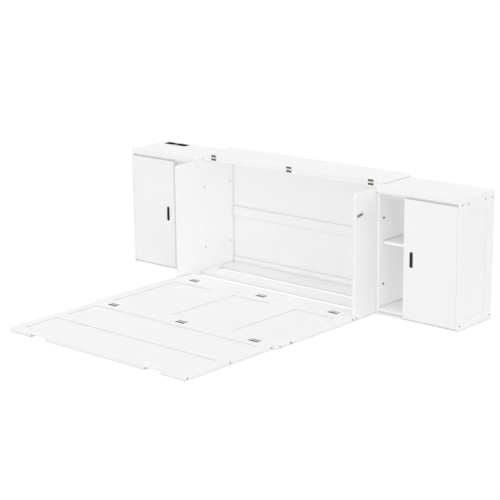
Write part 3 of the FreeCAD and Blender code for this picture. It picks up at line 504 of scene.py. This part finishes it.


# Length, root, reach and screws of a leaf: the flap's leaves are notched deeper at their knuckles, which
# widens the painted highlight of their near-white tabs
DECK_LEAF = (76 * MM, 4.1 * MM, 23 * MM, 3)
FLAP_LEAF = (45 * MM, 6.5 * MM, 19 * MM, 2)
for node, body, size, towards_plus, facing in (
        ("base_hinge_fixed_leaves", "chest", DECK_LEAF, True, FACING_UP),
        ("base_hinge_moving_leaves", "rear_deck", DECK_LEAF, False, FACING_UP),
        ("fold_hinge_rear_leaves", "rear_deck", DECK_LEAF, True, FACING_UP),
        ("fold_hinge_front_leaves", "front_deck", DECK_LEAF, False, FACING_UP),
        ("flap_hinge_fixed_leaves", "chest", FLAP_LEAF, False, FACING_FRONT),
        ("flap_hinge_moving_leaves", "flap", FLAP_LEAF, True, FACING_FRONT)):
    leaf = hinge_leaf(*size, first=0 if towards_plus else 1)
    leaves = copies(node + "_detailed", leaf, leaf_spots(node, towards_plus, facing))
    stand_in(leaves, body, "brass", node)
    discard(leaf)

# Hinge screws: countersunk, with a cross recess
HEAD_RADIUS = 3.8 * MM
HEAD_DEPTH = 2 * MM
SHANK_RADIUS = 1.9 * MM
SCREW_LENGTH = 16 * MM
TIP_SHARE = 0.3
RECESS_LENGTH = 4.6 * MM
RECESS_WIDTH = 1.0 * MM
RECESS_DEPTH = 1.3 * MM


def countersunk_screw():
    """A pointed screw facing up, its head level with the origin."""
    screw = begin("screw_master", bpy.ops.mesh.primitive_cone_add, vertices=SMALL_ROUND,
                  radius1=SHANK_RADIUS, radius2=HEAD_RADIUS, depth=HEAD_DEPTH,
                  location=(0, 0, -HEAD_DEPTH / 2))
    settle(screw)
    pick(screw, "polygons", lower_face(-HEAD_DEPTH))
    for drop in (SCREW_LENGTH - HEAD_DEPTH - SHANK_RADIUS, SHANK_RADIUS):
        bpy.ops.mesh.extrude_region_move(TRANSFORM_OT_translate={"value": (0, 0, -drop)})
    bpy.ops.transform.resize(value=(TIP_SHARE, TIP_SHARE, 1))
    to_object_mode()
    for size in ((RECESS_LENGTH, RECESS_WIDTH), (RECESS_WIDTH, RECESS_LENGTH)):
        carve(screw, slab("recess", (0, 0, 0), (*size, 2 * RECESS_DEPTH)))
    return smooth(screw, angle=30)


def screw_spots(node):
    """Where each screw of a node sits, and which way its head faces."""
    spots = []
    for low, high in solids_of(node):
        middle = (low + high) / 2
        if high.z - low.z > high.y - low.y:
            spots.append(Matrix.Translation((middle.x, middle.y, high.z)) @ FACING_UP)
        else:
            spots.append(Matrix.Translation((middle.x, low.y, middle.z)) @ FACING_FRONT)
    return spots


screw_master = countersunk_screw()
for node, body in (("chest_hinge_screws", "chest"), ("rear_deck_hinge_screws", "rear_deck"),
                   ("front_deck_hinge_screws", "front_deck"), ("flap_hinge_screws", "flap")):
    screws = copies(node + "_detailed", screw_master, screw_spots(node))
    paint(screws, SCREW_BRASS)
    stand_in(screws, body, "brass", node)
discard(screw_master)

# Frame bolts: cylinder heads with a hexagon socket, sunk level with the board
BOLT_HEAD_RADIUS = 4.6 * MM
BOLT_HEAD_DEPTH = 2 * MM
BOLT_RADIUS = 3 * MM
BOLT_EASE = 0.25 * MM
SOCKET_RADIUS = 2.9 * MM
SOCKET_DEPTH = 1.6 * MM


def headed_rod(name, head_radius, head_depth, length, sides=ROUND):
    """A rod below a wider head whose top is level with the origin."""
    rod = drum(name, (0, 0, -head_depth / 2), head_radius, head_depth, sides)
    pick(rod, "polygons", lower_face(-head_depth))
    bpy.ops.mesh.inset(thickness=head_radius - BOLT_RADIUS)
    bpy.ops.mesh.extrude_region_move(TRANSFORM_OT_translate={"value": (0, 0, head_depth - length)})
    to_object_mode()
    return rod


def socket_bolt(length, head_radius=BOLT_HEAD_RADIUS, head_depth=BOLT_HEAD_DEPTH):
    """A bolt facing up, its head level with the origin."""
    bolt = headed_rod("bolt_master", head_radius, head_depth, length)
    carve(bolt, drum("socket", (0, 0, 0), SOCKET_RADIUS, 2 * SOCKET_DEPTH, HEXAGON))
    return smooth(ease(bolt, BOLT_EASE), angle=30)


def at_end(bolt, low, high, faces_right):
    """Put a bolt's head at the right or left end of its solid, facing out."""
    middle = (low + high) / 2
    tip = high.x if faces_right else low.x
    facing = FACING_RIGHT if faces_right else FACING_LEFT
    bolt.data.transform(Matrix.Translation((tip, middle.y, middle.z)) @ facing)
    return bolt


for node, body in (("frame_bolts", "chest"), ("rear_deck_bolts", "rear_deck"),
                   ("front_deck_bolts", "front_deck")):
    bolts = []
    for low, high in solids_of(node):
        bolts.append(at_end(socket_bolt(high.x - low.x), low, high, low.x + high.x > 0))
    row = together(node + "_detailed", bolts)
    paint(row, BLACK_OXIDE)
    stand_in(row, body, "steel", node)

# Joining bolts: a bolt head inside the cabinet, its sleeve nut inside the chest
CAP_DEPTH = 2 * MM
joining_bolts = solids_of("joining_bolts")


def joining_bolt_ends(name, finish, in_cabinet, *nodes):
    """One end of every joining bolt, half as long as the whole."""
    ends = []
    for low, high in joining_bolts:
        end = socket_bolt((high.x - low.x) / 2, (high.z - low.z) / 2, CAP_DEPTH)
        is_right = low.x + high.x > 0
        ends.append(at_end(end, low, high, is_right == in_cabinet))
    row = together(name, ends)
    paint(row, finish)
    stand_in(row, "chest", "steel", *nodes)


joining_bolt_ends("joining_bolt_heads", BLACK_OXIDE, True, "joining_bolts")
joining_bolt_ends("joining_bolt_nuts", NICKEL, False)

# Flush pulls: a long dish with round ends, dark inside, lighter on the rim
PULL_WALL = 2.4 * MM
PULL_FLOOR = 3 * MM
PULL_EASE = 0.5 * MM
RIM_DEPTH = 0.6 * MM
# The dish's floor is a little smaller than its mouth
PULL_TAPER_SHARES = (0.94, 0.985, 1)


def flush_pull(side):
    """The pull of one door, made facing up and turned to the front."""
    low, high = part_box(side + "_door_pull")
    width, depth, height = high - low
    dish = drum("dish", (0, 0, -depth / 2), width / 2, depth, LARGEST_ROUND)
    half_straight = (height - width) / 2
    for sign in (-1, 1):
        pick(dish, "vertices", lambda point: point.co.y * sign > TOUCHING)
        bpy.ops.transform.translate(value=(0, sign * half_straight, 0))
    pick(dish, "polygons", upper_face(0))
    bpy.ops.mesh.inset(thickness=PULL_WALL)
    bpy.ops.mesh.extrude_region_move(TRANSFORM_OT_translate={"value": (0, 0, PULL_FLOOR - depth)})
    bpy.ops.transform.resize(value=PULL_TAPER_SHARES)
    to_object_mode()
    ease(dish, PULL_EASE, segments=3)
    paint(dish, BRONZE, BRONZE_RIM)
    for face in dish.data.polygons:
        face.material_index = int(face.center.z > -RIM_DEPTH)
    middle = (low + high) / 2
    dish.data.transform(Matrix.Translation((middle.x, low.y, middle.z)) @ FACING_FRONT)
    dish.name = side + "_pull_dish"
    stand_in(smooth(dish, angle=40), side + "_door", "black_metal", side + "_door_pull")


flush_pull("left")
flush_pull("right")

# Power unit: moulded frame with a raised rim, a grey band and two socket blocks
BEZEL_CORNER = 5 * MM
BEZEL_EASE = 0.6 * MM
TUB_MARGIN = 6 * MM
WELL_WALL = 3 * MM
WELL_CLEARANCE = 0.4 * MM
WELL_OVERRUN = 2 * MM
BAND_CORNER = 1.2 * MM
BAND_EASE = 0.3 * MM
unit_low, unit_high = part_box("power_housing")
unit_size = unit_high - unit_low
unit_middle = (unit_low + unit_high) / 2
block_low, block_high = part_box("power_inserts")
block_depth = block_high.y - block_low.y
band_low, band_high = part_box("power_band")
top_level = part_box("left_cabinet_top")[1].z
well_floor = unit_low.z + WELL_WALL
well_top = unit_high.z + WELL_OVERRUN
wells = []
for start, end in ((block_low.x, band_low.x), (band_high.x, block_high.x)):
    wells.append(((start + end) / 2, end - start))

bezel = slab("bezel", (unit_middle.x, unit_middle.y, (top_level + unit_high.z) / 2),
             (unit_size.x, unit_size.y, unit_high.z - top_level))
pick(bezel, "edges", upright_edges(bezel))
bpy.ops.mesh.bevel(offset=BEZEL_CORNER, segments=5)
to_object_mode()
tub = slab("tub", (unit_middle.x, unit_middle.y, (unit_low.z + top_level) / 2),
           (unit_size.x - 2 * TUB_MARGIN, unit_size.y - 2 * TUB_MARGIN, top_level - unit_low.z))
for piece in (bezel, tub):
    for x, length in wells:
        well_size = (length + WELL_CLEARANCE, block_depth + WELL_CLEARANCE, well_top - well_floor)
        carve(piece, slab("well", (x, unit_middle.y, (well_top + well_floor) / 2), well_size))
ease(bezel, BEZEL_EASE, segments=3)
shell = together("power_frame", [bezel, tub])
paint(shell, BLACK_ABS)
stand_in(smooth(shell), "chest", "black_plastic", "power_housing")

band = slab("power_middle_band", (band_low + band_high) / 2, band_high - band_low)
pick(band, "edges", upright_edges(band))
bpy.ops.mesh.bevel(offset=BAND_CORNER, segments=3)
to_object_mode()
paint(band, GREY_ABS)
stand_in(smooth(ease(band, BAND_EASE)), "chest", "grey_plastic", "power_band")

# Outlets in one socket block of the power unit, charging ports in the other
BLOCK_EASE = 0.5 * MM
OPENING_DEPTH = 14 * MM
OUTLET_PITCH = 38 * MM
RING_RADIUS = 16 * MM
RING_WIDTH = 0.8 * MM
RING_DEPTH = 0.4 * MM
BLADE_PITCH = 12.7 * MM
BLADE_SIZE = (2.4 * MM, 8 * MM)
ROUND_RADIUS = 2.5 * MM
ROUND_OFFSET = 10 * MM
BLADE_CONTACT = (1.6 * MM, 7 * MM, 9 * MM)
BLADE_CONTACT_DROP = 8 * MM
PORT_PITCH = 26 * MM
PORT_SIZE = (13 * MM, 5.5 * MM)
PORT_TONGUE = (11 * MM, 1.4 * MM, 11 * MM)
PORT_TONGUE_DROP = 7 * MM
PORT_TONGUE_OFFSET = 1 * MM
CONTACT_EASE = 0.2 * MM
face_z = block_high.z


def socket_block(x, length):
    """One of the power unit's two blocks, with eased edges and no openings yet."""
    piece = slab("socket_block", (x, unit_middle.y, (well_floor + face_z) / 2),
                 (length, block_depth, face_z - well_floor))
    return ease(piece, BLOCK_EASE)


def cut_opening(block, x, y, size):
    """Cut a rectangular opening down into a block."""
    carve(block, slab("opening", (x, y, face_z), (*size, 2 * OPENING_DEPTH)))


def cut_outlet(block, x):
    """Cut an outlet's ring, blade slots and round hole into a block, and give its contacts."""
    centre = (x, unit_middle.y, face_z)
    ring = drum("ring", centre, RING_RADIUS, 2 * RING_DEPTH, LARGEST_ROUND)
    carve(ring, drum("ring_core", centre, RING_RADIUS - RING_WIDTH, 4 * RING_DEPTH, LARGEST_ROUND))
    carve(block, ring)
    blades_y = unit_middle.y + ROUND_OFFSET / 2
    contacts = []
    for side in (-1, 1):
        blade_x = x + side * BLADE_PITCH / 2
        cut_opening(block, blade_x, blades_y, BLADE_SIZE)
        contacts.append(slab("contact", (blade_x, blades_y, face_z - BLADE_CONTACT_DROP), BLADE_CONTACT))
    carve(block, drum("round_hole", (x, blades_y - ROUND_OFFSET, face_z), ROUND_RADIUS, 2 * OPENING_DEPTH,
                      SMALL_ROUND))
    return contacts


def cut_port(block, x):
    """Cut a charging port into a block, and give its tongue."""
    cut_opening(block, x, unit_middle.y, PORT_SIZE)
    place = (x, unit_middle.y + PORT_TONGUE_OFFSET, face_z - PORT_TONGUE_DROP)
    return [slab("tongue", place, PORT_TONGUE)]


blocks = []
contacts = []
for (block_x, length), pitch, cut in zip(wells, (OUTLET_PITCH, PORT_PITCH), (cut_outlet, cut_port)):
    block = socket_block(block_x, length)
    for side in (-1, 1):
        contacts += cut(block, block_x + side * pitch / 2)
    blocks.append(block)
block_pair = together("power_socket_blocks", blocks)
paint(block_pair, BLACK_ABS)
stand_in(smooth(block_pair), "chest", "black_plastic", "power_inserts")
contact_set = together("power_contacts", [ease(piece, CONTACT_EASE, segments=1) for piece in contacts])
paint(contact_set, CONTACT)
stand_in(contact_set, "chest", "steel")

# Latch: a bar and two pins with a domed, slotted head, all plated alike
PIN_HEAD_DEPTH = 2 * MM
DOME_SHARE = 1 / 3
DOME_EASE = 0.7 * MM
SLOT_WIDTH = 1.4 * MM
SLOT_DEPTH = 0.9 * MM


def slotted_pin(name, node, body):
    """A pin that faces right, as long as its solid."""
    low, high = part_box(node)
    radius = (high.z - low.z) / 2
    pin = headed_rod(name, radius, PIN_HEAD_DEPTH, high.x - low.x, LARGE_ROUND)
    pick(pin, "polygons", upper_face(0))
    bpy.ops.mesh.inset(thickness=radius * DOME_SHARE)
    to_object_mode()
    ease(pin, DOME_EASE, segments=4, angle=60)
    carve(pin, slab("slot", (0, 0, 0), (3 * radius, SLOT_WIDTH, 2 * SLOT_DEPTH)))
    paint(at_end(pin, low, high, True), ZINC)
    stand_in(smooth(pin, angle=30), body, "steel", node)


slotted_pin("latch_pivot_slotted", "latch_pivot", "chest")
slotted_pin("latch_stud_slotted", "latch_stud", "rear_deck")
paint(frame["nodes"]["latch_bar"], ZINC)

# Flap buffers: two soft round stops at the top of the left chest side
BUFFER_RADIUS = 11 * MM
BUFFER_DEPTH = 9 * MM
BUFFER_EASE = 2.2 * MM
BUFFER_RIM = 2 * MM
BUFFER_DIMPLE = 0.8 * MM
# How far behind the side's front edge and below its top each stop sits
BUFFER_PLACES = ((126.5 * MM, 23 * MM), (217.5 * MM, 27 * MM))
side_low, side_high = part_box("chest_side_left")
buffers = []
for setback, drop in BUFFER_PLACES:
    stop = drum("stop", (0, 0, BUFFER_DEPTH / 2), BUFFER_RADIUS, BUFFER_DEPTH, LARGE_ROUND)
    ease(stop, BUFFER_EASE, segments=5)
    pick(stop, "polygons", upper_face(BUFFER_DEPTH))
    bpy.ops.mesh.inset(thickness=BUFFER_RIM)
    bpy.ops.mesh.inset(thickness=BUFFER_DIMPLE, depth=-BUFFER_DIMPLE)
    to_object_mode()
    place = Matrix.Translation((side_high.x, side_low.y + setback, side_high.z - drop))
    stop.data.transform(place @ FACING_RIGHT)
    buffers.append(stop)
buffer_pair = together("flap_buffers", buffers)
paint(buffer_pair, SILICONE)
stand_in(smooth(buffer_pair, angle=40), "chest", "white_nylon")

# Floor and background: white where the camera sees them, with the bed's soft shadow
WHITE = (1, 1, 1, 1)
FLOOR_SIZE = 60
FLOOR_DROP = 0.5 * MM
FLOOR_ROUGHNESS = 0.9
FLOOR_GLOW = 1.05
SHADOW_SHARE = 0.1


def sees_background(tree):
    """1 for camera, glossy and transmission rays, which show the white background, and 0 for all others."""
    path = add(tree, "ShaderNodeLightPath")
    share = path.outputs["Is Camera Ray"]
    for kind in ("Is Glossy Ray", "Is Transmission Ray"):
        either = add(tree, "ShaderNodeMath", {"operation": "MAXIMUM"})
        tree.links.new(share, either.inputs[0])
        tree.links.new(path.outputs[kind], either.inputs[1])
        share = either.outputs["Value"]
    return share


def floor_finish():
    """Matt white paint that glows white to the camera, apart from the share that takes the shadow."""
    material, tree, shader, place = blank_material("matt_white_studio_floor")
    tone = drifting(tree, place, ("DEDEDE", "DADADA"), size_mm=900)
    tree.links.new(tone, shader.inputs["Base Color"])
    shader.inputs["Roughness"].default_value = FLOOR_ROUGHNESS
    glow = add(tree, "ShaderNodeEmission", {"Color": WHITE, "Strength": FLOOR_GLOW})
    share = add(tree, "ShaderNodeMath", {"operation": "MULTIPLY"})
    tree.links.new(sees_background(tree), share.inputs[0])
    share.inputs[1].default_value = 1 - SHADOW_SHARE
    mixed = add(tree, "ShaderNodeMixShader", {}, {"Fac": share.outputs["Value"]})
    tree.links.new(shader.outputs["BSDF"], mixed.inputs[1])
    tree.links.new(glow.outputs["Emission"], mixed.inputs[2])
    output = next(node for node in tree.nodes if node.type == "OUTPUT_MATERIAL")
    tree.links.new(mixed.outputs["Shader"], output.inputs["Surface"])
    return material


floor = begin("floor", bpy.ops.mesh.primitive_plane_add, size=FLOOR_SIZE, location=(0, 0, -FLOOR_DROP))
paint(settle(floor), floor_finish())

# Light: an even pale room, a broad soft lamp overhead, and weak fills from the right, from beside the
# camera and from the front. The fills cast no shadow, so that the open cabinet third isn't dark, and leave
# no glare on the tops.
ROOM_STRENGTH = 0.69
BACKGROUND_STRENGTH = 1.0
LAMP_HEIGHT = 6
# Where each lamp stands, its strength, its breadth in degrees, and whether it casts a shadow
LAMPS = (((0.1, -0.2, 1.0), 0.63, 40, True),
         ((0.9, -0.3, 0.3), 0.41, 20, False),
         ((0.64, -0.73, 0.24), 0.6, 20, False),
         ((0.0, -1.0, 0.15), 0.15, 20, False))
world = bpy.data.worlds.new("pale_room")
bpy.context.scene.world = world
world.use_nodes = True
sky = world.node_tree
sky.nodes.clear()
room = add(sky, "ShaderNodeBackground", {"Color": WHITE, "Strength": ROOM_STRENGTH})
shown = add(sky, "ShaderNodeBackground", {"Color": WHITE, "Strength": BACKGROUND_STRENGTH})
choice = add(sky, "ShaderNodeMixShader", {}, {"Fac": sees_background(sky)})
sky.links.new(room.outputs["Background"], choice.inputs[1])
sky.links.new(shown.outputs["Background"], choice.inputs[2])
add(sky, "ShaderNodeOutputWorld", {}, {"Surface": choice.outputs["Shader"]})
to_object_mode()
for towards, strength, breadth, casts_shadow in LAMPS:
    bpy.ops.object.light_add(type="SUN", location=(0, 0, LAMP_HEIGHT))
    lamp = bpy.context.object
    lamp.data.energy = strength
    lamp.data.angle = math.radians(breadth)
    lamp.data.use_shadow = casts_shadow
    lamp.visible_glossy = casts_shadow
    lamp.rotation_euler = Vector(towards).to_track_quat("Z", "Y").to_euler()

# Camera
yaw = math.radians(CAMERA_YAW)
pitch = math.radians(CAMERA_PITCH)
roll = math.radians(CAMERA_ROLL)
forward = Vector((-math.sin(yaw) * math.cos(pitch), math.cos(yaw) * math.cos(pitch), math.sin(pitch)))
level = Vector((math.cos(yaw), math.sin(yaw), 0))
rise = level.cross(forward)
right = level * math.cos(roll) + rise * math.sin(roll)
upward = rise * math.cos(roll) - level * math.sin(roll)
turn = Matrix((right, upward, -forward)).transposed().to_4x4()
bpy.ops.object.camera_add()
camera = bpy.context.object
camera.matrix_world = Matrix.Translation(CAMERA_PLACE) @ turn
camera.data.sensor_fit = "HORIZONTAL"
camera.data.sensor_width = FILM_WIDTH
camera.data.lens = CAMERA_LENS
camera.data.clip_end = CAMERA_REACH
bpy.context.scene.camera = camera
bpy.context.scene.view_settings.view_transform = "Standard"
